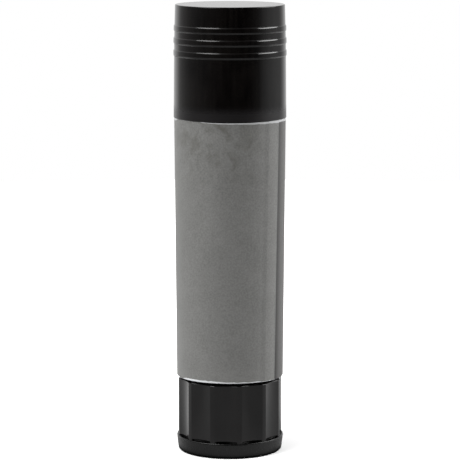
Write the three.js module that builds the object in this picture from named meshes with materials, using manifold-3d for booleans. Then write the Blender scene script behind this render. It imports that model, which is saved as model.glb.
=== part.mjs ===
// A glue stick: a stick of solid glue that a screw raises out of a plastic barrel with a push-on cap.
// Millimetres, +Z up. The origin is the centre of the foot that the stick stands on.
// The front is -Y. An angle round the stick is measured from the front, positive towards +X.
import * as THREE from 'three';
import { mergeVertices } from 'three/addons/utils/BufferGeometryUtils.js';
import Module from 'manifold-3d';

const wasm = await Module();
wasm.setup();

// Barrel: a moulded tube that gets slightly narrower towards its bottom.
const boreRadius = 8.6;
const sleeveWall = 1.8; // at the shoulder
const sleeveDraft = 0.0078; // radius lost for each millimetre down
const neckWall = 0.9;
const neckLength = 17.03;
const neckLead = 0.3; // chamfer at the mouth
const floorThickness = 1.4;
const floorRecess = 1.35; // depth of the hollow under the floor

// Guide ribs on the bore's wall, which keep the carrier from turning.
const ribCount = 4;
const ribHeight = 0.45;
const ribWidth = 0.9;
const ribSetback = 0.8; // below the mouth

// Snap bead on the neck, with its groove in the cap.
const beadRise = 0.1;
const beadWidth = 1.2;
const beadOffset = 2.4; // its middle, above the shoulder

// Label: one wrap with a slightly askew overlap.
const labelThickness = 0.09;
const labelInset = 0.05; // bare edge of the barrel at each end
const labelSeamTop = 60; // degrees round the stick, at the free edge
const labelSeamBottom = 56;
const labelOverlap = 14; // degrees
const labelClimb = 6; // degrees over which it rises onto its own start
const labelSteps = 54;

// Cap.
const capHeadroom = 3.25; // between the barrel's mouth and the cap's ceiling
const capWall = 0.89; // at the lower edge
const capTop = 1;
const capDraft = 0.008;
const capUpperDraft = 0.028;
const capEdge = 0.15; // radius of the top's edge
const capLead = 0.25; // chamfer inside the mouth

// Grip rings round the cap.
const gripCount = 3;
const gripPitch = 2.32;
const gripWidth = 1.2;
const gripRise = 0.16;
const gripDrop = 3.84; // from the cap's top to the highest ring

// Sealing ring under the cap's top. It dips into the barrel's mouth.
const sealWall = 0.85;
const sealDip = 0.75;

// Knob, with shallow hollow flutes between narrow lands.
const knobHeight = 11.12;
const knobStep = 0.115; // how far it stands inside the barrel's bottom edge
const knobWall = 1.55;
const knobWeb = 1.5;
const knobEdge = 0.25;
const spigotHeight = 1.1;
const fluteCount = 12;
const fluteDepth = 0.45;
const landAngle = 4; // degrees
const firstLand = 10.5; // degrees
const fluteSteps = 6;
const hubRadius = 4.4;
const hubLift = 2.77; // lower end of the hub, above the knob's lower edge

// Base disc, pressed into the knob's open bottom.
const rimHeight = 2.95;
const rimStep = 0.26; // how far it stands outside the knob's lands
const rimDraft = 0.155;
const rimEdge = 0.12; // chamfer of the rim's upper edge
const lipHeight = 0.17; // of the lip that stands round the knob's lower edge
const footRound = 0.5;
const footWidth = 2.4;
const footRecess = 0.5;
const discThickness = 1.5;
const plugHeight = 2.5;
const plugWall = 0.9;

// Screw: one left-hand thread.
const screwPitch = 4;
const coreRadius = 2;
const threadDepth = 0.75;
const crestWidth = 0.7;
const rootWidth = 1.7; // width of the ridge at its foot
const screwSteps = 16; // facets round the screw
const travel = 50;
const journalRadius = 2.9;
const flangeRadius = 4.6;
const flangeThickness = 0.85;
const driveRadius = 2.6; // of the six-sided stub, at its corners
const driveSetback = 0.5; // short of the hub's lower end

// Carrier: a cup on a threaded hub.
const cupDepth = 5.3;
const cupWall = 0.9;
const cupFloor = 1.2;
const cupSkirt = 2.7; // guide below the cup's floor
const nutRadius = 4.6;
const nutLength = 5; // below the cup's floor

// Glue.
const glueSetback = 1.55; // below the mouth
const glueEdge = 0.4;
const glueCrown = 4.6; // solid glue above the screw's tip

// Clearances between pieces.
const pressGap = 0.05;
const seatGap = 0.1;
const runningGap = 0.1;
const slideGap = 0.25;
const glueGap = 0.3;
const capGap = 0.2;
const shoulderGap = 0.08;
const knobGap = 0.45;
const threadGap = 0.2;
const labelGap = 0.04;

// Facets round each piece, and how far a cut runs past the face that it opens.
const facets = 48;
const cutPast = 1;

// Radii that follow from the bore, from the inside out.
const neckRadius = boreRadius + neckWall;
const capBore = neckRadius + capGap;
const capRadius = capBore + capWall;
const sleeveTopRadius = boreRadius + sleeveWall;
const cupRadius = boreRadius - slideGap;
const cupBore = cupRadius - cupWall;
const glueRadius = boreRadius - glueGap;
const crestRadius = coreRadius + threadDepth;
const sealRadius = boreRadius - capGap;

// Heights, from the foot up.
const knobSeat = rimHeight - lipHeight;
const knobBottom = knobSeat + seatGap;
const knobTop = knobBottom + knobHeight;
const hubBottom = knobBottom + hubLift;
const sleeveBottom = knobTop + knobGap;
const floorBottom = sleeveBottom + floorRecess;
const floorTop = floorBottom + floorThickness;
const flangeBottom = floorTop + seatGap;
const flangeTop = flangeBottom + flangeThickness;
const nutBottom = flangeTop + slideGap;
const cupFloorBottom = nutBottom + nutLength;
const cupFloorTop = cupFloorBottom + cupFloor;
const cupRim = cupFloorTop + cupDepth;
const screwTop = cupFloorTop + travel;
const glueBottom = cupFloorTop + seatGap;
const glueTop = screwTop + glueCrown;
const mouth = glueTop + glueSetback;
const shoulder = mouth - neckLength;
const capBottom = shoulder + shoulderGap;
const ceiling = mouth + capHeadroom;
const summit = ceiling + capTop;
const gripStart = summit - gripDrop - gripWidth - (gripCount - 1) * gripPitch;

// Radii that follow from the barrel's taper.
const sleeveBottomRadius = sleeveTopRadius - sleeveDraft * (shoulder - sleeveBottom);
const knobRadius = sleeveBottomRadius - knobStep;
const knobBore = knobRadius - knobWall;
const rimRadius = knobRadius + rimStep;

// A point in plan, from its radius and its angle from the front.
function around(radius, degrees) {
  const angle = THREE.MathUtils.degToRad(degrees);
  return [radius * Math.sin(angle), -radius * Math.cos(angle)];
}

// Turns a profile of [radius, height] points about Z. It starts and ends on the axis or on itself.
function revolve(profile, steps = facets) {
  const points = profile.map(([radius, height]) => new THREE.Vector2(radius, height));
  return new THREE.LatheGeometry(points, steps).rotateX(Math.PI / 2);
}

// A ring has no point on the axis, so its profile closes on its first point.
function revolveRing(profile, steps = facets) {
  return revolve([...profile, profile[0]], steps);
}

// Points of a rounded corner in a profile, from one direction to another, in degrees from outwards.
function corner(radius, height, size, from, to, steps = 3) {
  const points = [];
  for (let step = 0; step <= steps; step += 1) {
    const angle = THREE.MathUtils.degToRad(from + ((to - from) * step) / steps);
    points.push([radius + size * Math.cos(angle), height + size * Math.sin(angle)]);
  }
  return points;
}

// Raises a flat outline of [x, y] points from one height to another.
function prism(outline, bottom, top) {
  const shape = new THREE.Shape(outline.map(([x, y]) => new THREE.Vector2(x, y)));
  const geometry = new THREE.ExtrudeGeometry(shape, { depth: top - bottom, bevelEnabled: false });
  return geometry.translate(0, 0, bottom);
}

// A solid for cutting and joining: only positions, with shared corners merged.
function solid(geometry) {
  const bare = geometry.clone();
  bare.deleteAttribute('normal');
  bare.deleteAttribute('uv');
  const merged = mergeVertices(bare, 1e-4);
  const corners = [];
  const index = merged.index.array;
  for (let i = 0; i < index.length; i += 3) {
    const [a, b, c] = [index[i], index[i + 1], index[i + 2]];
    if (a !== b && b !== c && c !== a) corners.push(a, b, c);
  }
  const triVerts = new Uint32Array(corners);
  const vertProperties = new Float32Array(merged.attributes.position.array);
  return new wasm.Manifold(new wasm.Mesh({ numProp: 3, vertProperties, triVerts }));
}

// A solid back as a geometry to draw.
function drawn(body) {
  const { vertProperties, triVerts } = body.getMesh();
  const geometry = new THREE.BufferGeometry();
  geometry.setAttribute('position', new THREE.BufferAttribute(vertProperties, 3));
  geometry.setIndex(new THREE.BufferAttribute(triVerts, 1));
  const flat = geometry.toNonIndexed();
  flat.computeVertexNormals();
  return flat;
}

// A bar along a radius, at each guide rib. It makes the ribs and cuts the notches they run in.
function ribBars(innerRadius, outerRadius, width, bottom, top) {
  const bars = [];
  for (let rib = 0; rib < ribCount; rib += 1) {
    const bar = new THREE.BoxGeometry(outerRadius - innerRadius, width, top - bottom);
    bar.translate((innerRadius + outerRadius) / 2, 0, (bottom + top) / 2);
    bar.rotateZ(((rib + 0.5) * 2 * Math.PI) / ribCount);
    bars.push(solid(bar));
  }
  return bars;
}

// A left-hand screw from below bottom to above top, cut flat at both. The extra size is a clearance.
function screw(bottom, top, extra) {
  const core = coreRadius + extra;
  const crest = crestRadius + extra;
  const crestHalf = crestWidth / 2 + extra;
  const rootHalf = rootWidth / 2 + extra;
  const ridge = [[core, -rootHalf], [crest, -crestHalf], [crest, crestHalf], [core, rootHalf]];
  const firstTurn = Math.floor(bottom / screwPitch) - 1;
  const turns = Math.ceil(top / screwPitch) + 1 - firstTurn;
  const rows = turns * ridge.length;
  const positions = [];
  for (let step = 0; step <= screwSteps; step += 1) {
    const angle = (-2 * Math.PI * step) / screwSteps;
    for (let row = 0; row <= rows; row += 1) {
      const [radius, offset] = ridge[row % ridge.length];
      const turn = firstTurn + Math.floor(row / ridge.length) + step / screwSteps;
      positions.push(radius * Math.cos(angle), radius * Math.sin(angle), turn * screwPitch + offset);
    }
  }
  const at = (step, row) => step * (rows + 1) + row;
  const triangles = [];
  for (let step = 0; step < screwSteps; step += 1) {
    for (let row = 0; row < rows; row += 1) {
      triangles.push(at(step, row), at(step, row + 1), at(step + 1, row + 1));
      triangles.push(at(step, row), at(step + 1, row + 1), at(step + 1, row));
    }
  }
  // Each end is a fan round a point on the axis, with a step of one turn where the thread starts.
  const low = positions.length / 3;
  positions.push(0, 0, firstTurn * screwPitch);
  const high = low + 1;
  positions.push(0, 0, (firstTurn + turns + 1) * screwPitch);
  for (let step = 0; step < screwSteps; step += 1) {
    triangles.push(low, at(step, 0), at(step + 1, 0));
    triangles.push(high, at(step + 1, rows), at(step, rows));
  }
  for (let row = 0; row < ridge.length; row += 1) {
    triangles.push(low, at(0, row + 1), at(0, row));
    triangles.push(high, at(screwSteps, rows - row - 1), at(screwSteps, rows - row));
  }
  const geometry = new THREE.BufferGeometry();
  geometry.setAttribute('position', new THREE.Float32BufferAttribute(positions, 3));
  geometry.setIndex(triangles);
  const slabRadius = crest + cutPast;
  const slab = revolve([[0, bottom], [slabRadius, bottom], [slabRadius, top], [0, top]]);
  return solid(geometry).intersect(solid(slab));
}

function baseDiscGeometry() {
  const footRadius = rimRadius - rimDraft * (rimHeight - rimEdge - footRound);
  const footInner = footRadius - footRound - footWidth;
  const lipRadius = knobRadius + pressGap;
  const plugRadius = knobBore - pressGap;
  return revolve([
    [0, footRecess],
    [footInner - footRecess, footRecess],
    [footInner, 0],
    ...corner(footRadius - footRound, footRound, footRound, -90, 0),
    [rimRadius, rimHeight - rimEdge],
    [rimRadius - rimEdge / 2, rimHeight],
    [lipRadius, rimHeight],
    [lipRadius, knobSeat],
    [plugRadius, knobSeat],
    [plugRadius, knobSeat + plugHeight],
    [plugRadius - plugWall, knobSeat + plugHeight],
    [plugRadius - plugWall, footRecess + discThickness],
    [0, footRecess + discThickness],
  ]);
}

// Radius of the knob's outline: a land, then a flute hollowed as a parabola.
function fluteOutline() {
  const pitch = 360 / fluteCount;
  const outline = [];
  for (let flute = 0; flute < fluteCount; flute += 1) {
    for (let step = 0; step <= fluteSteps; step += 1) {
      const across = (2 * step) / fluteSteps - 1;
      const angle = firstLand + pitch * (flute + 0.5) + (across * (pitch - landAngle)) / 2;
      outline.push(around(knobRadius - fluteDepth * (1 - across * across), angle));
    }
  }
  return outline;
}

function knobGeometry() {
  const spigotRadius = boreRadius - slideGap;
  const webBottom = knobTop - knobWeb;
  const fluted = solid(prism(fluteOutline(), knobBottom, knobTop));
  const envelope = solid(revolve([
    [0, knobBottom],
    [knobRadius, knobBottom],
    [knobRadius, knobTop - knobEdge],
    [knobRadius - knobEdge, knobTop],
    [0, knobTop],
  ]));
  const hollow = solid(revolve([
    [0, knobBottom - cutPast],
    [knobBore, knobBottom - cutPast],
    [knobBore, webBottom],
    [hubRadius, webBottom],
    [hubRadius, hubBottom],
    [0, hubBottom],
  ]));
  const spigot = solid(revolve([
    [0, knobTop - knobEdge],
    [spigotRadius, knobTop - knobEdge],
    [spigotRadius, knobTop + spigotHeight],
    [0, knobTop + spigotHeight],
  ]));
  const socket = solid(driveGeometry(pressGap, knobBottom, floorBottom));
  const grip = fluted.intersect(envelope).subtract(hollow);
  return drawn(grip.add(spigot).subtract(socket));
}

// The six-sided drive between the spindle and the knob.
function driveGeometry(extra, bottom, top) {
  const outline = [];
  for (let side = 0; side < 6; side += 1) {
    outline.push(around(driveRadius + extra, side * 60));
  }
  return prism(outline, bottom, top);
}

function spindleGeometry() {
  const driveTop = floorBottom - seatGap;
  const shaft = solid(revolve([
    [0, driveTop],
    [journalRadius, driveTop],
    [journalRadius, flangeBottom],
    [flangeRadius, flangeBottom],
    [flangeRadius, flangeTop],
    [0, flangeTop],
  ], facets / 2));
  const drive = solid(driveGeometry(0, hubBottom + driveSetback, flangeBottom));
  return drawn(shaft.add(drive).add(screw(flangeTop - flangeThickness / 2, screwTop, 0)));
}

function barrelGeometry() {
  const bead = shoulder + beadOffset;
  const holeRadius = journalRadius + runningGap;
  const tube = solid(revolveRing([
    [sleeveBottomRadius, sleeveBottom],
    [sleeveTopRadius, shoulder],
    [neckRadius, shoulder],
    [neckRadius, bead - beadWidth / 2],
    [neckRadius + beadRise, bead],
    [neckRadius, bead + beadWidth / 2],
    [neckRadius, mouth - neckLead],
    [neckRadius - neckLead, mouth],
    [boreRadius, mouth],
    [boreRadius, floorTop],
    [holeRadius, floorTop],
    [holeRadius, floorBottom],
    [boreRadius, floorBottom],
    [boreRadius, sleeveBottom],
  ]));
  const ribInner = boreRadius - ribHeight;
  const ribOuter = boreRadius + neckWall / 2;
  const ribs = ribBars(ribInner, ribOuter, ribWidth, floorTop - floorThickness / 2, mouth - ribSetback);
  return drawn(ribs.reduce((body, rib) => body.add(rib), tube));
}

// The label's sheet, from its tucked end, once round the barrel and over its own start.
function labelGeometry() {
  const positions = [];
  const levels = [
    { height: sleeveBottom + labelInset, seam: labelSeamBottom },
    { height: shoulder - labelInset, seam: labelSeamTop },
  ];
  for (let step = 0; step <= labelSteps; step += 1) {
    const sweep = ((360 + labelOverlap) * step) / labelSteps;
    const rise = THREE.MathUtils.smoothstep(sweep, 360 - labelClimb, 360);
    const lift = rise * (labelThickness + labelGap);
    for (const { height, seam } of levels) {
      const barrelRadius = sleeveBottomRadius + sleeveDraft * (height - sleeveBottom);
      const inner = barrelRadius + labelGap + lift;
      for (const radius of [inner, inner + labelThickness]) {
        positions.push(...around(radius, seam - labelOverlap + sweep), height);
      }
    }
  }
  // Corners of each cross-section: 0 inner low, 1 outer low, 2 inner high, 3 outer high.
  const sides = [[0, 1], [1, 3], [3, 2], [2, 0]];
  const triangles = [0, 1, 3, 0, 3, 2];
  for (let step = 0; step < labelSteps; step += 1) {
    const near = step * 4;
    const far = near + 4;
    for (const [from, to] of sides) {
      triangles.push(near + from, far + from, far + to, near + from, far + to, near + to);
    }
  }
  const end = labelSteps * 4;
  triangles.push(end, end + 3, end + 1, end, end + 2, end + 3);
  const geometry = new THREE.BufferGeometry();
  geometry.setAttribute('position', new THREE.Float32BufferAttribute(positions, 3));
  geometry.setIndex(triangles);
  return drawn(solid(geometry));
}

function carrierGeometry() {
  const cup = solid(revolve([
    [0, nutBottom],
    [nutRadius, nutBottom],
    [nutRadius, cupFloorBottom],
    [cupBore, cupFloorBottom],
    [cupBore, cupFloorBottom - cupSkirt],
    [cupRadius, cupFloorBottom - cupSkirt],
    [cupRadius, cupRim],
    [cupBore, cupRim],
    [cupBore, cupFloorTop],
    [0, cupFloorTop],
  ]));
  const thread = screw(nutBottom - cutPast, cupFloorTop + cutPast, threadGap);
  return drawn(cutNotches(cup, nutBottom, cupRim).subtract(thread));
}

// Notches in a piece that slides in the bore, so that it passes the guide ribs.
function cutNotches(body, bottom, top) {
  const innerRadius = boreRadius - ribHeight - threadGap;
  const outerRadius = boreRadius + cutPast;
  const width = ribWidth + 2 * threadGap;
  const bars = ribBars(innerRadius, outerRadius, width, bottom - cutPast, top + cutPast);
  return bars.reduce((rest, bar) => rest.subtract(bar), body);
}

function glueGeometry() {
  const footRadius = cupBore - runningGap;
  const boreTop = screwTop + seatGap;
  const shaftBore = crestRadius + threadGap;
  const stick = solid(revolve([
    [0, boreTop],
    [shaftBore, boreTop],
    [shaftBore, glueBottom],
    [footRadius, glueBottom],
    [footRadius, cupRim + seatGap],
    [glueRadius, cupRim + seatGap],
    ...corner(glueRadius - glueEdge, glueTop - glueEdge, glueEdge, 0, 90),
    [0, glueTop],
  ]));
  return drawn(cutNotches(stick, glueBottom, glueTop));
}

// Outer radius of the cap's wall between its rings, at a height. It narrows faster above the lowest ring.
function capOutside(height) {
  const upper = Math.max(0, height - gripStart - gripWidth);
  return capRadius - capDraft * (height - upper - capBottom) - capUpperDraft * upper;
}

function capGeometry() {
  const grooveMiddle = shoulder + beadOffset;
  const profile = [
    [0, ceiling],
    [sealRadius - sealWall, ceiling],
    [sealRadius - sealWall, mouth - sealDip],
    [sealRadius, mouth - sealDip],
    [sealRadius, ceiling],
    [capBore, ceiling],
    [capBore, grooveMiddle + beadWidth / 2],
    [capBore + beadRise, grooveMiddle],
    [capBore, grooveMiddle - beadWidth / 2],
    [capBore, capBottom + capLead],
    [capBore + capLead, capBottom],
    [capRadius, capBottom],
  ];
  for (let ring = 0; ring < gripCount; ring += 1) {
    for (const [across, share] of [[0, 0], [0.03, 0.6], [0.13, 1], [0.87, 1], [0.97, 0.6], [1, 0]]) {
      const height = gripStart + ring * gripPitch + across * gripWidth;
      profile.push([capOutside(height) + share * gripRise, height]);
    }
  }
  const edgeRadius = capOutside(summit - capEdge) - capEdge;
  profile.push(...corner(edgeRadius, summit - capEdge, capEdge, 0, 90), [0, summit]);
  return revolve(profile);
}

const blackGloss = { color: 0x0b0a0a, roughness: 0.18, metalness: 0 };
const blackSatin = { color: 0x141414, roughness: 0.42, metalness: 0 };
const blackMatte = { color: 0x1b1b1b, roughness: 0.55, metalness: 0 };
const greyPaper = { color: 0x5f5e5b, roughness: 0.5, metalness: 0 };
const whitePlastic = { color: 0xe4e3de, roughness: 0.45, metalness: 0 };
const paleGlue = { color: 0xe9e8df, roughness: 0.5, metalness: 0 };

const group = new THREE.Group();
for (const [name, geometry, look] of [
  ['base_disc', baseDiscGeometry(), blackMatte],
  ['knob', knobGeometry(), blackSatin],
  ['spindle', spindleGeometry(), whitePlastic],
  ['barrel', barrelGeometry(), blackSatin],
  ['label', labelGeometry(), greyPaper],
  ['carrier', carrierGeometry(), whitePlastic],
  ['glue', glueGeometry(), paleGlue],
  ['cap', capGeometry(), blackGloss],
]) {
  const mesh = new THREE.Mesh(geometry, new THREE.MeshStandardMaterial(look));
  mesh.name = name;
  group.add(mesh);
}

export default group;
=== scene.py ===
# A glue stick with its cap on, standing upright: the looks of every piece, in assembly order.
import math

import bpy
import numpy as np
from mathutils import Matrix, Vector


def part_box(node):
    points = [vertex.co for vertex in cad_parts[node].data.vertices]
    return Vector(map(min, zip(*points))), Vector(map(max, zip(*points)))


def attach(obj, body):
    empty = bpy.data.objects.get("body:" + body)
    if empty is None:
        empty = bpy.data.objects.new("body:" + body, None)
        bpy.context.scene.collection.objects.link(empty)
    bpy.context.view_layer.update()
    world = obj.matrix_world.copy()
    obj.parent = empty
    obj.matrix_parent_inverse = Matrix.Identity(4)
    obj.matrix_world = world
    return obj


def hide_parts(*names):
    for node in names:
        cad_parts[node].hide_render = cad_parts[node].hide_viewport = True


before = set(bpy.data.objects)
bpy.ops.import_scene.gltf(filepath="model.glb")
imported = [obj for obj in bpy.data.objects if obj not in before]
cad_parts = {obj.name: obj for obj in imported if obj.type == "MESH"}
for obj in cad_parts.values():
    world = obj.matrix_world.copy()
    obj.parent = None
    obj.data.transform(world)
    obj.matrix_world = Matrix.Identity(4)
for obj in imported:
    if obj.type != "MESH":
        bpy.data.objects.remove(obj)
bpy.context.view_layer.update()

# Base disc: the plug that closes the knob's lower end, and the foot that the stick stands on.
# It is moulded in black plastic with a spark-eroded satin face, and pressed into the knob's bore until
# a low lip stands round the knob's lower edge.
mm = 0.001


def rounded(corners, steps=6):
    """Profile points (radius, height) from corners (radius, height, fillet).

    A fillet is the circle that touches both edges at its corner. Its points turn from one edge to the
    other in equal steps, and one point more before and after it keeps the flats beside it flat.
    """
    corners = np.array(corners, float)
    points = []
    for i, (*spot, fillet) in enumerate(corners):
        spot = np.array(spot)
        if fillet == 0:
            points.append(spot)
            continue
        edge_in = spot - corners[i - 1, :2]
        edge_out = corners[(i + 1) % len(corners), :2] - spot
        edge_in /= np.linalg.norm(edge_in)
        edge_out /= np.linalg.norm(edge_out)
        turn = math.atan2(edge_in[0] * edge_out[1] - edge_in[1] * edge_out[0], edge_in @ edge_out)
        start = spot - edge_in * fillet * math.tan(abs(turn) / 2)
        spoke = np.array([edge_in[1], -edge_in[0]]) * fillet * math.copysign(1, turn)
        centre = start - spoke
        angle = np.linspace(0, turn, steps + 1)
        arc = centre + np.stack([
            spoke[0] * np.cos(angle) - spoke[1] * np.sin(angle),
            spoke[0] * np.sin(angle) + spoke[1] * np.cos(angle),
        ], axis=1)
        beside = 0.3 * fillet
        points += [start - edge_in * beside, *arc, arc[-1] + edge_out * beside]
    return np.array(points)


def turned(name, profile, columns=240, reshape=None):
    """Mesh of a profile turned about the stick's axis.

    Point (j, i) is profile point j at angle a = 2 pi i / columns from the front: x = r sin a,
    y = -r cos a, z = height. reshape(a, r, z) returns the radius where the piece isn't round.
    A profile that begins and ends on the axis is closed by a fan at each end, any other on itself.
    """
    profile = np.asarray(profile)
    solid = profile[0, 0] == 0
    rows = profile[1:-1] if solid else profile
    angle = np.linspace(0, 2 * math.pi, columns, endpoint=False)
    radius = np.repeat(rows[:, :1], columns, axis=1)
    height = np.repeat(rows[:, 1:], columns, axis=1)
    if reshape:
        radius = reshape(angle[None, :], radius, height)
    spots = np.stack([radius * np.sin(angle), -radius * np.cos(angle), height], axis=2).reshape(-1, 3)
    here = np.arange(rows.shape[0] * columns).reshape(rows.shape[0], columns)
    beside = np.roll(here, -1, axis=1)
    above, above_beside = np.roll(here, -1, axis=0), np.roll(beside, -1, axis=0)
    quads = np.stack([here, beside, above_beside, above], axis=2)
    faces = (quads[:-1] if solid else quads).reshape(-1, 4).tolist()
    if solid:
        low, high = np.full(columns, len(spots)), np.full(columns, len(spots) + 1)
        spots = np.vstack([spots, [0, 0, profile[0, 1]], [0, 0, profile[-1, 1]]])
        faces += np.stack([low, beside[0], here[0]], axis=1).tolist()
        faces += np.stack([here[-1], beside[-1], high], axis=1).tolist()
    mesh = bpy.data.meshes.new(name)
    mesh.from_pydata(spots.tolist(), [], faces)
    mesh.shade_smooth()
    return mesh


def fit(name, mesh, material, body, slot, *nodes):
    """Puts a finished mesh in the scene as a piece of a body, in place of its plain solids."""
    piece = bpy.data.objects.new(name, mesh)
    bpy.context.scene.collection.objects.link(piece)
    mesh.materials.append(material)
    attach(piece, body)
    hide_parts(*nodes)


def add(tree, kind, inputs=(), **settings):
    """Adds a shader node, and links or fills its inputs, given as (socket, value or socket) pairs."""
    made = tree.nodes.new(kind)
    for setting, value in settings.items():
        setattr(made, setting, value)
    for socket, value in inputs:
        if isinstance(value, bpy.types.NodeSocket):
            tree.links.new(value, made.inputs[socket])
        else:
            made.inputs[socket].default_value = value
    return made


def noise(tree, place, per_metre, detail, distortion=0.0):
    """Cloudy noise between 0 and 1, with about so many clouds to a metre."""
    made = add(tree, "ShaderNodeTexNoise",
               [("Vector", place), ("Scale", per_metre), ("Detail", detail), ("Distortion", distortion)])
    return made.outputs["Fac"]


def ramped(tree, value, start, end, at_start=0.0, at_end=1.0, **settings):
    """A level that stays at one value up to start and at another from end on, and changes in between."""
    made = add(tree, "ShaderNodeMapRange",
               [("Value", value), ("From Min", start), ("From Max", end),
                ("To Min", at_start), ("To Max", at_end)], **settings)
    return made.outputs["Result"]


def reckoned(tree, operation, *values):
    """One step of arithmetic on two or three values."""
    return add(tree, "ShaderNodeMath", enumerate(values), operation=operation).outputs[0]


def blended(tree, share, start, end):
    """A colour that goes from start to end as the share goes from 0 to 1."""
    made = add(tree, "ShaderNodeMix", [("Factor", share), ("A", start), ("B", end)], data_type="RGBA")
    return made.outputs["Result"]


def relief(tree, height, depth, under=None):
    """Bumps of the given depth that follow a height, on top of another relief if one is given."""
    made = add(tree, "ShaderNodeBump", [("Height", height), ("Distance", depth)])
    if under is not None:
        tree.links.new(under, made.inputs["Normal"])
    return made.outputs["Normal"]


def screen(red, green, blue):
    """A colour as a screen shows it, 0 to 255, as the linear values that a shader takes."""
    share = np.array([red, green, blue]) / 255
    linear = np.where(share <= 0.04045, share / 12.92, ((share + 0.055) / 1.055) ** 2.4)
    return (*linear.tolist(), 1)


def start_material(name):
    """An empty material. Returns it, its tree, its Principled shader and its Object coordinates."""
    material = bpy.data.materials.new(name)
    material.use_nodes = True
    tree = material.node_tree
    return material, tree, tree.nodes["Principled BSDF"], add(tree, "ShaderNodeTexCoord").outputs["Object"]


def moulded_plastic(name, dark, light, roughness, grain, grain_height, dust=0.0):
    """Moulded plastic, on Object coordinates in metres.

    Its colour goes from dark to light in clouds of about 5 mm and in long rubbed streaks, which change its
    gloss too. A spark-eroded grain of the given size roughens it, and a wave of about 10 mm bends its
    reflections. Dust is the share of tiny cells that hold a pale speck.
    """
    material, tree, shader, place = start_material(name)
    drawn_out = add(tree, "ShaderNodeMapping", [("Vector", place), ("Scale", (1, 1, 0.06))])
    streak = noise(tree, drawn_out.outputs["Vector"], 1800, detail=4)
    clouded = reckoned(tree, "ADD", noise(tree, place, 200, detail=3), streak)
    colour = blended(tree, ramped(tree, clouded, 0.75, 1.25), dark, light)
    rubbed = ramped(tree, streak, 0.35, 0.75, roughness * 0.85, roughness * 1.25)
    tree.links.new(rubbed, shader.inputs["Roughness"])
    eroded = relief(tree, noise(tree, place, 1 / grain, detail=2), grain_height)
    waved = relief(tree, noise(tree, place, 100, detail=1), 0.03 * mm, under=eroded)
    tree.links.new(waved, shader.inputs["Normal"])
    if dust:
        speck_radius = 0.11
        cells = add(tree, "ShaderNodeTexVoronoi", [("Vector", place), ("Scale", 700)])
        lot = add(tree, "ShaderNodeSeparateColor", [("Color", cells.outputs["Color"])])
        in_middle = reckoned(tree, "LESS_THAN", cells.outputs["Distance"], speck_radius)
        chosen = reckoned(tree, "LESS_THAN", lot.outputs["Red"], dust)
        speck = reckoned(tree, "MULTIPLY", in_middle, chosen)
        colour = blended(tree, speck, colour, screen(64, 62, 58))
    tree.links.new(colour, shader.inputs["Base Color"])
    return material


disc_low, disc_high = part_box("base_disc")
knob_low, knob_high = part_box("knob")
rim_radius = disc_high.x
seat_gap = 0.1 * mm
knob_seat = knob_low.z - seat_gap
lip_height = 0.17 * mm
lip_width = 0.23 * mm
rim_height = knob_seat + lip_height
rim_bevel = 0.25 * mm
foot_radius = rim_radius - 0.36 * mm
foot_width = 2.9 * mm
foot_recess = 0.5 * mm
recess_top = disc_low.z + foot_recess
recess_radius = foot_radius - foot_width - foot_recess
gate_radius = 0.8 * mm
gate_top = recess_top + 0.12 * mm
plug_radius = 8.3 * mm
plug_wall = 0.9 * mm
plate_top = 2.0 * mm

disc_profile = rounded([
    (0, gate_top, 0),
    (gate_radius - 0.1 * mm, gate_top, 0.05 * mm),
    (gate_radius, recess_top, 0.05 * mm),
    (recess_radius, recess_top, 0.2 * mm),
    (foot_radius - foot_width, disc_low.z, 0.12 * mm),
    (foot_radius, disc_low.z, 0.5 * mm),
    (rim_radius, rim_height - rim_bevel, 0.3 * mm),
    (rim_radius - 0.05 * mm, rim_height, 0.08 * mm),
    (rim_radius - lip_width, rim_height, 0.06 * mm),
    (rim_radius - lip_width, knob_seat, 0.06 * mm),
    (plug_radius, knob_seat, 0.1 * mm),
    (plug_radius, disc_high.z, 0.15 * mm),
    (plug_radius - plug_wall, disc_high.z, 0.15 * mm),
    (plug_radius - plug_wall, plate_top, 0.3 * mm),
    (0, plate_top, 0),
])
base_plastic = moulded_plastic("base plastic", screen(4, 4, 4), screen(10, 10, 10),
                               roughness=0.28, grain=0.12 * mm, grain_height=0.004 * mm)
fit("base_disc_made", turned("base_disc_made", disc_profile), base_plastic,
    "knob", "base_plastic", "base_disc")

# Knob: the fluted grip under the barrel. Turning it turns the screw.
# It is moulded in black plastic with twelve shallow hollow flutes, and its hub takes the screw's drive.
land_radius = 9.94 * mm
flute_depth = 0.5 * mm
flute_pitch = math.radians(30)
flute_half = math.radians(12.5)
first_flute = math.radians(25.5)
flute_softness = 0.04
flute_fade_start = 8.6 * mm
flute_fade_width = 0.7 * mm
scoop_height = 0.4 * mm
scoop_depth = 0.3 * mm
scoop_edge = 0.1 * mm
scoop_steepness = 4
scoop_top = knob_low.z + scoop_height
knob_bore = 8.35 * mm
collar_radius = 8.35 * mm
knob_top = knob_high.z - 1.1 * mm
web_bottom = knob_top - 1.5 * mm
hub_radius = 4.4 * mm
hub_bottom = knob_low.z + 2.77 * mm
socket_corner = 2.65 * mm
flat_share = math.cos(math.radians(30))        # a hexagon's flats lie at this share of its corners' radius
socket_flat = socket_corner * flat_share


def eased(share):
    """A share held between 0 and 1 that starts and ends gently: s s (3 - 2 s)."""
    share = np.clip(share, 0, 1)
    return share ** 2 * (3 - 2 * share)


def six_sided(angle, radius):
    """Radius of a hexagon whose flats lie at the given radius, with a corner at the front."""
    return radius / np.cos((angle % math.radians(60)) - math.radians(30))


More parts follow.
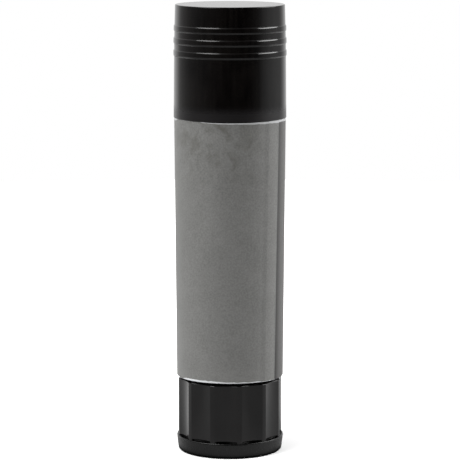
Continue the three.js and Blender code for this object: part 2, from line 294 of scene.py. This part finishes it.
def knob_radius(angle, radius, height):
    """Flutes outside and the six-sided socket inside.

    Across one flute u runs from -1 to 1, and the flute is the parabola depth (1 - u u), with its edge
    on the land softened. It runs down to the knob's lower edge, where its foot is scooped deeper, and
    fades inwards over the knob's top face.
    """
    across = ((angle - first_flute + flute_pitch / 2) % flute_pitch - flute_pitch / 2) / flute_half
    bowl = 1 - across ** 2
    scoop = np.clip((scoop_top - height) / scoop_edge, 0, 1) * np.clip(bowl * scoop_steepness, 0, 1)
    flute = (bowl + np.sqrt(bowl ** 2 + flute_softness ** 2)) / 2
    hollow = flute_depth * flute + scoop_depth * scoop
    fluted = radius - hollow * eased((radius - flute_fade_start) / flute_fade_width)
    return np.where(radius < socket_corner, six_sided(angle, radius), fluted)


knob_profile = rounded([
    (knob_bore, knob_low.z, 0.1 * mm),
    (land_radius, knob_low.z, 0.05 * mm),
    (land_radius, scoop_top - scoop_edge, 0),
    (land_radius, scoop_top, 0),
    (land_radius, scoop_top + scoop_edge, 0),
    (land_radius, knob_top, 0.12 * mm),
    (collar_radius, knob_top, 0.1 * mm),
    (collar_radius, knob_high.z, 0.25 * mm),
    (socket_flat, knob_high.z, 0.1 * mm),
    (socket_flat, hub_bottom, 0.1 * mm),
    (hub_radius, hub_bottom, 0.15 * mm),
    (hub_radius, web_bottom, 0.4 * mm),
    (knob_bore, web_bottom, 0.4 * mm),
])
knob_plastic = moulded_plastic("knob plastic", screen(8, 7, 7), screen(15, 14, 14),
                               roughness=0.14, grain=0.15 * mm, grain_height=0.003 * mm, dust=0.01)
fit("knob_made", turned("knob_made", knob_profile, 720, knob_radius), knob_plastic,
    "knob", "knob_plastic", "knob")

# Screw: the white spindle that the knob turns. Its left-hand thread raises the carrier.
# It is moulded in one with a flange that lies on the barrel's floor and a six-sided drive below it.
spindle_low, spindle_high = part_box("spindle")
thread_pitch = 4 * mm
rows_in_pitch = 36
core_radius = 2 * mm
thread_depth = 0.75 * mm
crest_half = 0.35 * mm
root_half = 0.85 * mm
journal_radius = 2.9 * mm
flange_radius = 4.6 * mm
flange_bottom = 17.3 * mm
flange_top = 18.15 * mm
drive_flat = 2.6 * mm * flat_share
drive_top = 15.7 * mm
thread_bottom = flange_top + 0.4 * mm
tip_bottom = spindle_high.z - 0.6 * mm
runout_end = spindle_high.z - 0.5 * mm
runout_length = 1.5 * mm


def ridge(angle, height, extra=0.0):
    """Share of the thread's depth at an angle and height: 1 on the crest and 0 on the core.

    The crest of a left-hand thread sinks by one pitch in each turn, and passes the right side at every
    whole pitch. The side of the ridge is a ramp from its root's half width to its crest's, with both ends
    eased. Extra is a clearance.
    """
    turns = height / thread_pitch + (angle - math.pi / 2) / (2 * math.pi)
    away = np.abs(turns - np.round(turns)) * thread_pitch
    return eased((root_half + extra - away) / (root_half - crest_half))


def on_wall(radius, wall):
    """True where a point of a profile lies on the wall of the given radius."""
    return np.abs(radius - wall) < 0.01 * mm


def spindle_radius(angle, radius, height):
    """Thread above the flange, running out at the tip, and the six-sided drive below the journal."""
    threaded = on_wall(radius, core_radius) & (height > thread_bottom - 0.2 * mm)
    runout = np.clip((runout_end - height) / runout_length, 0, 1)
    screw = radius + threaded * thread_depth * ridge(angle, height) * runout
    return np.where(height < drive_top - 0.1 * mm, six_sided(angle, radius), screw)


thread_rows = np.arange(thread_bottom, tip_bottom, thread_pitch / rows_in_pitch)
spindle_profile = np.vstack([
    rounded([
        (0, spindle_low.z, 0),
        (drive_flat, spindle_low.z, 0.3 * mm),
        (drive_flat, drive_top, 0.02 * mm),
        (journal_radius, drive_top, 0.15 * mm),
        (journal_radius, flange_bottom, 0.05 * mm),
        (flange_radius, flange_bottom, 0.1 * mm),
        (flange_radius, flange_top, 0.15 * mm),
        (core_radius, flange_top, 0.15 * mm),
        (core_radius, thread_bottom, 0),
    ])[:-1],
    np.stack([np.full_like(thread_rows, core_radius), thread_rows], axis=1),
    rounded([
        (core_radius, tip_bottom, 0),
        (core_radius, spindle_high.z, 0.35 * mm),
        (0, spindle_high.z, 0),
    ]),
])
screw_plastic = moulded_plastic("screw plastic", screen(214, 212, 204), screen(228, 227, 221),
                                roughness=0.4, grain=0.3 * mm, grain_height=0.004 * mm)
fit("screw_made", turned("screw_made", spindle_profile, 96, spindle_radius), screw_plastic,
    "knob", "screw_plastic", "spindle")

# Barrel: the black tube that holds the glue. A bare neck takes the cap, and its floor the screw.
# It is moulded in glossy plastic, tapering slightly down, with four guide ribs along the bore.
barrel_low, barrel_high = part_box("barrel")
bore_radius = 8.6 * mm
neck_radius = 9.5 * mm
shoulder = 63.72 * mm
shoulder_radius = barrel_high.x
barrel_taper = 0.0078
lower_radius = shoulder_radius - barrel_taper * (shoulder - barrel_low.z)
floor_bottom = barrel_low.z + 1.35 * mm
floor_top = floor_bottom + 1.4 * mm
floor_hole = journal_radius + 0.1 * mm
bead_middle = shoulder + 2.4 * mm
bead_half = 0.6 * mm
bead_rise = 0.1 * mm
rib_height = 0.45 * mm
rib_half_width = 0.45 * mm
rib_top = barrel_high.z - 0.8 * mm
rib_runout = 0.4 * mm
rib_ease = 0.12 * mm


def guide_rib(angle, half_width, ease=rib_ease):
    """1 on a guide rib and 0 between ribs, eased at the rib's sides.

    The ribs stand at 45 degrees from the front and every 90 degrees from there.
    """
    off = (angle % (math.pi / 2)) - math.pi / 4
    beside = np.abs(np.sin(off)) * bore_radius
    return eased((half_width + ease / 2 - beside) / ease)


def barrel_radius(angle, radius, height):
    """Guide ribs stand in from the bore's wall, up to a little below the mouth."""
    ribbed = on_wall(radius, bore_radius) & (height > floor_top + 0.1 * mm)
    runout = np.clip((rib_top - height) / rib_runout, 0, 1)
    return radius - ribbed * rib_height * guide_rib(angle, rib_half_width) * runout


barrel_profile = rounded([
    (lower_radius, barrel_low.z, 0.15 * mm),
    (shoulder_radius, shoulder, 0.15 * mm),
    (neck_radius, shoulder, 0.2 * mm),
    (neck_radius, bead_middle - bead_half, 0.3 * mm),
    (neck_radius + bead_rise, bead_middle, 0.5 * mm),
    (neck_radius, bead_middle + bead_half, 0.3 * mm),
    (neck_radius, barrel_high.z, 0.35 * mm),
    (bore_radius, barrel_high.z, 0.15 * mm),
    (bore_radius, rib_top + 0.1 * mm, 0.02 * mm),
    (bore_radius, rib_top - 0.5 * mm, 0.02 * mm),
    (bore_radius, floor_top, 0.2 * mm),
    (floor_hole, floor_top, 0.1 * mm),
    (floor_hole, floor_bottom, 0.1 * mm),
    (bore_radius, floor_bottom, 0.2 * mm),
    (bore_radius, barrel_low.z, 0.15 * mm),
])
barrel_plastic = moulded_plastic("barrel plastic", screen(14, 14, 14), screen(19, 19, 18),
                                 roughness=0.24, grain=0.1 * mm, grain_height=0.001 * mm)
fit("barrel_made", turned("barrel_made", barrel_profile, 480, barrel_radius), barrel_plastic,
    "barrel", "barrel_plastic", "barrel")

# Label: one sheet of coated paper, printed satin grey, wrapped round the barrel and glued down.
# It was laid slightly askew: its free end overlaps its start along a leaning seam on the right.
label_low, label_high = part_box("label")
label_thickness = 0.09 * mm
label_gap = 0.03 * mm
full_turn = 2 * math.pi
seam_low = math.radians(54.5)
seam_high = math.radians(58.6)
overlap = math.radians(14)
climb_turn = math.radians(7)
loose_turn = math.radians(3)
loose_lift = 0.03 * mm
loose_waver = 0.02 * mm
edge_waver = 0.1 * mm
edge_ripple = 0.01 * mm
rows_along = 721
rows_up = 25


def bell(angle, middle, width):
    """A bell curve of the angle, 1 at its middle and about a third of that one width away."""
    off = (angle - math.radians(middle) + math.pi) % full_turn - math.pi
    return np.exp(-(off / math.radians(width)) ** 2)


def label_mesh():
    """The label's sheet, as a closed loop carried along the wrap.

    Share s along the wrap gives the angle a = seam - overlap + s (360 degrees + overlap), where the seam
    leans from its lower to its upper angle. The sheet follows the barrel's taper, climbs onto its own
    start over the last few degrees and lifts a hair at its free end. Both its cut edges waver, each by a
    bell curve of the angle: the upper one rises at the left and dips in front, the lower one rises in
    front. The loop round the sheet's section is outer face up, upper edge, inner face down, lower edge.
    """
    along = np.linspace(0, 1, rows_along)[:, None]
    up = np.linspace(0, 1, rows_up)
    rise = np.concatenate([up, up[::-1]])[None, :]
    is_outer = np.concatenate([np.ones(rows_up), np.zeros(rows_up)])[None, :]
    sweep = (full_turn + overlap) * along
    angle = seam_low + (seam_high - seam_low) * rise - overlap + sweep
    left, front = bell(angle, -75, 35), bell(angle, 0, 42)
    low = label_low.z + edge_waver * (0.5 + front)
    high = label_high.z + edge_waver * (1 + 0.6 * left - front) + edge_ripple * np.sin(angle * 9)
    height = low + (high - low) * rise
    climb = eased((sweep - full_turn + climb_turn) / climb_turn) * (label_thickness + label_gap)
    loose = np.clip((sweep - full_turn - overlap + loose_turn) / loose_turn, 0, 1) ** 2
    lift = loose * (loose_lift + loose_waver * np.sin(rise * 9))
    under = lower_radius + barrel_taper * (height - barrel_low.z) + label_gap + climb + lift
    radius = under + is_outer * label_thickness
    spots = np.stack([radius * np.sin(angle), -radius * np.cos(angle), height], axis=2)
    count = 2 * rows_up
    here = np.arange(rows_along * count).reshape(rows_along, count)
    beyond = np.roll(here, -1, axis=1)
    quads = np.stack([here[:-1], here[1:], beyond[1:], beyond[:-1]], axis=2).reshape(-1, 4)
    outer, inner = here[:, :rows_up], here[:, :rows_up - 1:-1]
    start = np.stack([outer[0, :-1], outer[0, 1:], inner[0, 1:], inner[0, :-1]], axis=1)
    end = np.stack([outer[-1, 1:], outer[-1, :-1], inner[-1, :-1], inner[-1, 1:]], axis=1)
    mesh = bpy.data.meshes.new("label_made")
    mesh.from_pydata(spots.reshape(-1, 3).tolist(), [], np.vstack([quads, start, end]).tolist())
    shares = np.stack(np.broadcast_arrays(along, rise), axis=2).reshape(-1, 2)
    corners = np.zeros(len(mesh.loops), int)
    mesh.loops.foreach_get("vertex_index", corners)
    wrap = mesh.uv_layers.new(name="wrap")
    wrap.data.foreach_set("uv", shares[corners].ravel())
    mesh.shade_smooth()
    mesh.set_sharp_from_angle(angle=math.radians(40))
    return mesh


# Each pair but smudge_rise holds two shares of the wrap, between which something changes. That pair,
# the margins' widths and their ragged edge are shares of the sheet's height.
# seam_shadow_end: where the painted shadow beside the seam gives way to the printed bar.
seam_shadow_end = 0.047, 0.064
bar_end = 0.1, 0.103
smudge_end = 0.94, 0.9
lower_margin_start = 0.69, 0.71
lower_margin_fade = 0.75, 1.0
upper_margin_growth = 0.73, 1.0
upper_margin_behind = 0.67, 0.64
smudge_rise = 0.7, 0.92
lower_width = 0.0072
lower_end_width = 0.0004
upper_width = 0.0095
upper_behind_width = 0.009
ragged = 0.007


def printed_paper():
    """Coated paper printed in grey, on the sheet's own shares along the wrap and up it.

    The print stops short of the cut edges, by margins that change along the wrap as the print ran
    askew. Fibres give it a fine grain, the ink clouds, and thumbs have smudged it near the cap. Painted
    shade makes the ink darker higher up and the bare paper darker towards the top. A darker bar is
    printed along its start, with a painted shadow of the free end beside the seam, darkest there.
    """
    material, tree, shader, place = start_material("label paper")
    wrap = add(tree, "ShaderNodeUVMap", uv_map="wrap")
    shares = add(tree, "ShaderNodeSeparateXYZ", [("Vector", wrap.outputs["UV"])])
    along, up = shares.outputs["X"], shares.outputs["Y"]

    fibre = noise(tree, place, 3200, detail=3)
    grained = reckoned(tree, "MULTIPLY_ADD", fibre, 3.2, noise(tree, place, 260, detail=3))
    # Painted shade: the ink is painted darker towards the top.
    painted_darker_up = reckoned(tree, "MULTIPLY_ADD", up, -0.55, grained)
    ink = blended(tree, ramped(tree, painted_darker_up, 0.9, 2.5), screen(96, 96, 94), screen(119, 119, 117))

    smudge = ramped(tree, noise(tree, place, 320, detail=3, distortion=1), 0.47, 0.7)
    near_cap = ramped(tree, up, *smudge_rise, 0.0, 0.7)
    short_of_seam = ramped(tree, along, *smudge_end, 0.1, 1.0)
    for mask in (near_cap, short_of_seam):
        smudge = reckoned(tree, "MULTIPLY", smudge, mask)
    ink = blended(tree, smudge, ink, screen(82, 81, 76))

    # Painted shadow of the free end: a dark line beside the seam, darker towards the bottom, that gives way
    # to the printed bar.
    seam_shadow = blended(tree, up, screen(40, 39, 38), screen(58, 57, 56))
    bar_ink_and_seam_shadow = blended(tree, ramped(tree, along, *seam_shadow_end), seam_shadow, screen(76, 75, 74))
    ink = blended(tree, ramped(tree, along, *bar_end, 1.0, 0.0), ink, bar_ink_and_seam_shadow)

    wobble = reckoned(tree, "MULTIPLY_ADD", noise(tree, place, 900, detail=4), ragged, -ragged / 2)
    low = reckoned(tree, "MINIMUM", ramped(tree, along, *lower_margin_start, 0.0, lower_width),
                   ramped(tree, along, *lower_margin_fade, lower_width, lower_end_width))
    high = reckoned(tree, "MAXIMUM", ramped(tree, along, *upper_margin_growth, 0.0, upper_width),
                    ramped(tree, along, *upper_margin_behind, 0.0, upper_behind_width))
    below_print = reckoned(tree, "LESS_THAN", reckoned(tree, "ADD", up, wobble), low)
    from_top = reckoned(tree, "SUBTRACT", 1.0, up)
    above_print = reckoned(tree, "LESS_THAN", reckoned(tree, "ADD", from_top, wobble), high)
    bare = reckoned(tree, "MAXIMUM", below_print, above_print)
    # Painted shade: the bare paper is painted darker towards the top, under the cap.
    paper = blended(tree, up, screen(208, 210, 212), screen(172, 173, 174))
    tree.links.new(blended(tree, bare, ink, paper), shader.inputs["Base Color"])

    tree.links.new(ramped(tree, fibre, 0.3, 0.7, 0.36, 0.48), shader.inputs["Roughness"])
    fine = relief(tree, fibre, 0.003 * mm)
    swollen = relief(tree, noise(tree, place, 70, detail=2), 0.03 * mm, under=fine)
    tree.links.new(swollen, shader.inputs["Normal"])
    return material


fit("label_made", label_mesh(), printed_paper(), "barrel", "label_paper", "label")

# Carrier: the white cup that holds the glue's lower end. Its threaded hub climbs the screw.
# It is moulded in one piece, and four notches let it pass the guide ribs without turning.
carrier_low, carrier_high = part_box("carrier")
cup_radius = 8.35 * mm
cup_bore = 7.45 * mm
cup_floor_bottom = 23.4 * mm
cup_floor_top = 24.6 * mm
skirt_bottom = cup_floor_bottom - 2.7 * mm
nut_radius = 4.6 * mm
thread_clearance = 0.2 * mm
nut_bore = core_radius + thread_clearance
nut_mouth = nut_bore + 0.9 * mm
notch_radius = bore_radius - rib_height - thread_clearance


def notched(angle, radius, ease=rib_ease):
    """Radius with a notch cut into it at each guide rib."""
    share = guide_rib(angle, rib_half_width + thread_clearance, ease)
    return np.minimum(radius, radius + (notch_radius - radius) * share)


def carrier_radius(angle, radius, height):
    """The matching thread inside the hub, and the notches round the cup's wall."""
    threaded = on_wall(radius, nut_bore) * thread_depth * ridge(angle, height, thread_clearance)
    return np.where(radius > notch_radius - 0.1 * mm, notched(angle, radius), radius + threaded)


nut_rows = np.arange(cup_floor_top - 0.3 * mm, carrier_low.z + 0.3 * mm, -thread_pitch / rows_in_pitch)
carrier_profile = np.vstack([
    rounded([
        (nut_bore, carrier_low.z + 0.2 * mm, 0),
        (nut_mouth, carrier_low.z, 0.1 * mm),
        (nut_radius, carrier_low.z, 0.2 * mm),
        (nut_radius, cup_floor_bottom, 0.3 * mm),
        (cup_bore, cup_floor_bottom, 0.3 * mm),
        (cup_bore, skirt_bottom, 0.15 * mm),
        (cup_radius, skirt_bottom, 0.2 * mm),
        (cup_radius, carrier_high.z, 0.2 * mm),
        (cup_bore, carrier_high.z, 0.2 * mm),
        (cup_bore, cup_floor_top, 0.2 * mm),
        (nut_mouth, cup_floor_top, 0.1 * mm),
        (nut_bore, cup_floor_top - 0.2 * mm, 0),
    ]),
    np.stack([np.full_like(nut_rows, nut_bore), nut_rows], axis=1),
])
carrier_plastic = moulded_plastic("carrier plastic", screen(216, 214, 207), screen(229, 228, 222),
                                  roughness=0.38, grain=0.3 * mm, grain_height=0.004 * mm)
fit("carrier_made", turned("carrier_made", carrier_profile, 480, carrier_radius), carrier_plastic,
    "carrier", "carrier_plastic", "carrier")

# Glue: the solid stick, cast hot into the barrel round the screw, so the ribs leave grooves in it.
# It is a milky, waxy gel: light goes a little way into it, and it is slightly tacky and uneven.
glue_low, glue_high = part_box("glue")
glue_radius = 8.3 * mm
glue_foot = 7.35 * mm
glue_bore = 2.95 * mm
screw_space_top = 74.7 * mm
foot_top = carrier_high.z + 0.1 * mm
wall_bottom = carrier_high.z + 0.5 * mm
wall_top = glue_high.z - 0.8 * mm
unevenness = 0.02 * mm
dome_height = 0.06 * mm
dome_flat = 4 * mm


def glue_shape(angle, radius, height):
    """Grooves where the ribs stood, and a wall that swells and shrinks a little as the cast set."""
    grooved = np.where(radius > notch_radius, notched(angle, radius, ease=0.3 * mm), radius)
    swell = np.sin(height / mm * 0.9 + 2 * np.sin(angle)) - 1
    return grooved + on_wall(radius, glue_radius) * unevenness * swell


wall_rows = np.linspace(wall_bottom, wall_top, 90)
glue_profile = np.vstack([
    rounded([
        (0, screw_space_top, 0),
        (glue_bore, screw_space_top, 0.3 * mm),
        (glue_bore, glue_low.z, 0.1 * mm),
        (glue_foot, glue_low.z, 0.3 * mm),
        (glue_foot, foot_top, 0.1 * mm),
        (glue_radius, foot_top, 0.1 * mm),
        (glue_radius, wall_bottom, 0),
    ])[:-1],
    np.stack([np.full_like(wall_rows, glue_radius), wall_rows], axis=1),
    rounded([
        (glue_radius, wall_top, 0),
        (glue_radius, glue_high.z - dome_height, 0.5 * mm),
        (dome_flat, glue_high.z, 3 * mm),
        (0, glue_high.z, 0),
    ])[1:],
])


def set_glue():
    """Milky gel with light going about a millimetre into it, and small pits and smears on its face."""
    material, tree, shader, place = start_material("set glue")
    cloud = noise(tree, place, 320, detail=4)
    tree.links.new(blended(tree, cloud, screen(166, 164, 154), screen(196, 195, 187)),
                   shader.inputs["Base Color"])
    shader.inputs["Subsurface Weight"].default_value = 0.6
    shader.inputs["Subsurface Radius"].default_value = (1.2, 1.1, 0.9)
    shader.inputs["Subsurface Scale"].default_value = 1 * mm
    smear = noise(tree, place, 1100, detail=5, distortion=1)
    tree.links.new(ramped(tree, smear, 0.35, 0.65, 0.28, 0.5), shader.inputs["Roughness"])
    soft = relief(tree, cloud, 0.08 * mm)
    tree.links.new(relief(tree, smear, 0.05 * mm, under=soft), shader.inputs["Normal"])
    return material


fit("glue_made", turned("glue_made", glue_profile, 480, glue_shape), set_glue(), "carrier", "glue", "glue")

# Cap: the black cover that pushes over the neck and keeps the glue moist, with three grip rings.
# It is moulded in polished plastic; inside, a groove takes the neck's bead and a thin ring seals the mouth.
cap_low, cap_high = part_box("cap")
cap_radius = 10.615 * mm
cap_bore = 9.7 * mm
cap_ceiling = cap_high.z - 1.0 * mm
mouth_bevel = 0.25 * mm
seal_radius = 8.4 * mm
seal_wall = 0.85 * mm
seal_bottom = barrel_high.z - 0.75 * mm
ring_width = 1.2 * mm
ring_pitch = 2.32 * mm
ring_rise = 0.135 * mm
ring_edge = 0.4 * mm
top_band = 3.79 * mm
lowest_ring = cap_high.z - top_band - ring_width - 2 * ring_pitch
wall_draft = 0.008
upper_draft = 0.028
upper_wall = lowest_ring + ring_width + 1.5 * mm
wall_start = cap_low.z + 0.4 * mm
edge_round = 0.15 * mm
worn_band = 3.2 * mm


def cap_wall(height):
    """Radius of the cap's outer wall at a height.

    The wall leans in by a gentle draft, and by a steeper one from the middle ring up. Each of the three
    rings is a band on it, whose two edges are quarter ellipses that flatten towards its crown.
    """
    over = np.clip(height - upper_wall, 0, None)
    wall = cap_radius - wall_draft * (height - over - cap_low.z) - upper_draft * over
    ring = np.clip(np.floor((height - lowest_ring) / ring_pitch), 0, 2)
    above_foot = height - lowest_ring - ring * ring_pitch
    inside = np.minimum(above_foot, ring_width - above_foot)
    short = 1 - np.clip(inside / ring_edge, 0, 1)
    return wall + ring_rise * np.sqrt(1 - short ** 2)


ring_arc = ring_edge * (1 - np.cos(np.linspace(0, math.pi / 2, 13)))
ring_rows = np.concatenate([ring_arc, [ring_width / 2], ring_width - ring_arc[::-1]])
gap_rows = np.array([1.24, 1.6, 1.9, 2.28]) * mm
ring_feet = lowest_ring + ring_pitch * np.arange(3)
wall_heights = np.sort(np.concatenate([
    np.linspace(wall_start, lowest_ring - 0.04 * mm, 60),
    *(foot + ring_rows for foot in ring_feet),
    *(foot + gap_rows for foot in ring_feet[:2]),
    np.linspace(ring_feet[2] + gap_rows[0], cap_high.z - edge_round - 0.1 * mm, 24),
]))
top_radius = float(cap_wall(cap_high.z - edge_round))
cap_profile = np.vstack([
    rounded([
        (0, cap_ceiling, 0),
        (seal_radius - seal_wall, cap_ceiling, 0.2 * mm),
        (seal_radius - seal_wall, seal_bottom, 0.15 * mm),
        (seal_radius, seal_bottom, 0.25 * mm),
        (seal_radius, cap_ceiling, 0.2 * mm),
        (cap_bore, cap_ceiling, 0.3 * mm),
        (cap_bore, bead_middle + bead_half, 0.3 * mm),
        (cap_bore + bead_rise, bead_middle, 0.5 * mm),
        (cap_bore, bead_middle - bead_half, 0.3 * mm),
        (cap_bore, cap_low.z + mouth_bevel, 0.1 * mm),
        (cap_bore + mouth_bevel, cap_low.z, 0.08 * mm),
        (cap_radius, cap_low.z, 0.08 * mm),
        (cap_radius, wall_start, 0),
    ])[:-1],
    np.stack([cap_wall(wall_heights), wall_heights], axis=1),
    rounded([
        (top_radius, cap_high.z - edge_round - 0.06 * mm, 0),
        (top_radius, cap_high.z, edge_round),
        (top_radius * 0.5, cap_high.z, 0.1 * mm),
        (0, cap_high.z, 0),
    ])[1:],
])
cap_plastic = moulded_plastic("cap plastic", screen(3, 2, 2), screen(12, 10, 9),
                              roughness=0.12, grain=0.1 * mm, grain_height=0.0005 * mm, dust=0.02)


def wear_mouth(material):
    """Turns the lowest band of the cap's wall greyer and duller, where pulling it off and on rubs it."""
    tree = material.node_tree
    shader = tree.nodes["Principled BSDF"]
    place = add(tree, "ShaderNodeTexCoord").outputs["Object"]
    height = add(tree, "ShaderNodeSeparateXYZ", [("Vector", place)]).outputs["Z"]
    worn = ramped(tree, height, cap_low.z + worn_band, cap_low.z + worn_band / 3,
                  interpolation_type="SMOOTHSTEP")
    polished = shader.inputs["Base Color"].links[0].from_socket
    tree.links.new(blended(tree, worn, polished, screen(14, 12, 13)), shader.inputs["Base Color"])
    glossy = shader.inputs["Roughness"].links[0].from_socket
    duller = add(tree, "ShaderNodeMix", [("Factor", worn), ("A", glossy), ("B", 0.3)])
    tree.links.new(duller.outputs["Result"], shader.inputs["Roughness"])


wear_mouth(cap_plastic)
fit("cap_made", turned("cap_made", cap_profile, 256), cap_plastic, "cap", "cap_plastic", "cap")

# Studio: a pale floor that keeps the shadow, white surroundings behind and at the sides, darker in
# front. A soft lamp stands high on the left and one on the right, each with a brighter middle, and
# the camera looks slightly down.
white = (1, 1, 1, 1)
floor_radius = 0.4
floor_sides = 96
angle = np.linspace(0, 2 * math.pi, floor_sides, endpoint=False)
floor_spots = floor_radius * np.stack([np.cos(angle), np.sin(angle), 0 * angle], axis=1)
floor_mesh = bpy.data.meshes.new("floor")
floor_mesh.from_pydata(floor_spots.tolist(), [], [list(range(floor_sides))])
floor = bpy.data.objects.new("floor", floor_mesh)
bpy.context.scene.collection.objects.link(floor)


def pale_card():
    """Matt card for the floor, on Object coordinates in metres.

    To the camera it glows, faintly beside the foot, where the shadow lies, and fully from 100 mm on. To
    reflections it is a grey with a painted reflection of the white backdrop, paler behind than in front,
    and a painted contact shadow that turns it black under the foot.
    """
    material, tree, shader, place = start_material("floor")
    shader.inputs["Base Color"].default_value = (0.8, 0.8, 0.8, 1)
    shader.inputs["Roughness"].default_value = 0.9
    shader.inputs["Specular IOR Level"].default_value = 0.1
    from_axis = add(tree, "ShaderNodeVectorMath", [(0, place)], operation="LENGTH").outputs["Value"]
    depth = add(tree, "ShaderNodeSeparateXYZ", [("Vector", place)]).outputs["Y"]
    glow = ramped(tree, from_axis, 11 * mm, 100 * mm, 0.16, 1.0)
    glowing = add(tree, "ShaderNodeEmission", [("Color", white), ("Strength", glow)])
    lit = add(tree, "ShaderNodeAddShader", [(0, shader.outputs[0]), (1, glowing.outputs[0])])
    # Painted reflection of the white backdrop: reflections see the floor paler behind than in front.
    behind = ramped(tree, depth, -30 * mm, 30 * mm, 0.2, 0.45)
    # Painted contact shadow: reflections see the floor turn black under the foot.
    outside_painted_foot_shadow = ramped(tree, from_axis, 10.2 * mm, 11.6 * mm)
    grey = reckoned(tree, "MULTIPLY", behind, outside_painted_foot_shadow)
    shade = add(tree, "ShaderNodeCombineColor", [("Red", grey), ("Green", grey), ("Blue", grey)])
    plain = add(tree, "ShaderNodeBsdfDiffuse", [("Color", shade.outputs["Color"])])
    path = add(tree, "ShaderNodeLightPath")
    seen = add(tree, "ShaderNodeMixShader",
               [(0, path.outputs["Is Camera Ray"]), (1, plain.outputs[0]), (2, lit.outputs[0])])
    tree.links.new(seen.outputs[0], tree.nodes["Material Output"].inputs["Surface"])
    return material


floor_mesh.materials.append(pale_card())

around = [
    (-180, 0.88), (-150, 1.0), (-138, 0.92), (-125, 0.47), (-105, 0.3), (-90, 0.21), (-75, 0.15),
    (-45, 0.055), (-15, 0.015), (30, 0.006), (45, 0.03), (60, 0.08), (75, 0.35), (90, 0.48), (105, 0.5),
    (125, 0.36), (150, 0.9), (180, 0.88),
]
overhead = [
    (-180, 0.9), (-135, 0.8), (-90, 0.5), (-45, 1.0), (-15, 0.2), (45, 0.02), (90, 0.7), (135, 0.6),
    (180, 0.9),
]


def round_level(tree, share, levels):
    """A grey level that changes round the studio, from (degrees from the front, level) pairs."""
    ramp = add(tree, "ShaderNodeValToRGB", [("Fac", share)])
    elements = ramp.color_ramp.elements
    elements.remove(elements[1])
    for degrees, brightness in levels:
        stop = elements.new(degrees / 360 + 0.5) if degrees > -180 else elements[0]
        stop.color = (brightness, brightness, brightness, 1)
    return ramp.outputs["Color"]


def surroundings():
    """White to the camera. To reflections a grey that changes round the stick, with another overhead."""
    world = bpy.data.worlds.new("studio")
    world.use_nodes = True
    tree = world.node_tree
    tree.nodes.clear()
    way = add(tree, "ShaderNodeTexCoord").outputs["Generated"]
    toward = add(tree, "ShaderNodeSeparateXYZ", [("Vector", way)])
    front = reckoned(tree, "MULTIPLY", toward.outputs["Y"], -1.0)
    azimuth = reckoned(tree, "ARCTAN2", toward.outputs["X"], front)
    turn_share = ramped(tree, azimuth, -math.pi, math.pi)
    high = ramped(tree, toward.outputs["Z"], 0.15, 0.6, interpolation_type="SMOOTHSTEP")
    grey = blended(tree, high, round_level(tree, turn_share, around),
                   round_level(tree, turn_share, overhead))
    path = add(tree, "ShaderNodeLightPath")
    shown = blended(tree, path.outputs["Is Camera Ray"], grey, white)
    sky = add(tree, "ShaderNodeBackground", [("Color", shown)])
    add(tree, "ShaderNodeOutputWorld", [("Surface", sky.outputs[0])])
    return world


bpy.context.scene.world = surroundings()
lamp_distance = 0.6
stick_middle = 45 * mm


def lamp(name, azimuth, elevation, width, height, power):
    """A wide soft lamp that faces the middle of the stick, from an angle round it and above it."""
    data = bpy.data.lights.new(name, "AREA")
    data.shape = "ELLIPSE"
    data.size, data.size_y, data.energy = width, height, power
    made = bpy.data.objects.new(name, data)
    bpy.context.scene.collection.objects.link(made)
    turn, lift = math.radians(azimuth), math.radians(elevation)
    away = np.array([math.sin(turn) * math.cos(lift), -math.cos(turn) * math.cos(lift), math.sin(lift)])
    made.location = away * lamp_distance + np.array([0, 0, stick_middle])
    made.rotation_euler = (math.radians(90) - lift, 0, turn)


lamp("left lamp", azimuth=-55, elevation=45, width=0.5, height=0.2, power=2.1)
lamp("left lamp's middle", azimuth=-55, elevation=45, width=0.22, height=0.2, power=2.8)
lamp("right lamp", azimuth=91, elevation=27, width=0.6, height=0.22, power=2.9)
lamp("right lamp's middle", azimuth=91, elevation=27, width=0.34, height=0.22, power=1.8)

camera_distance = 477 * mm
camera_height = 113.7 * mm
look_down = 8.52
camera_data = bpy.data.cameras.new("camera")
camera_data.sensor_width = 36
camera_data.lens = 199.0
camera_data.clip_start, camera_data.clip_end = 0.01, 20
camera = bpy.data.objects.new("camera", camera_data)
bpy.context.scene.collection.objects.link(camera)
camera.location = (0, -camera_distance, camera_height)
camera.rotation_euler = (math.radians(90 - look_down), 0, 0)
bpy.context.scene.camera = camera
bpy.context.scene.view_settings.view_transform = "Standard"
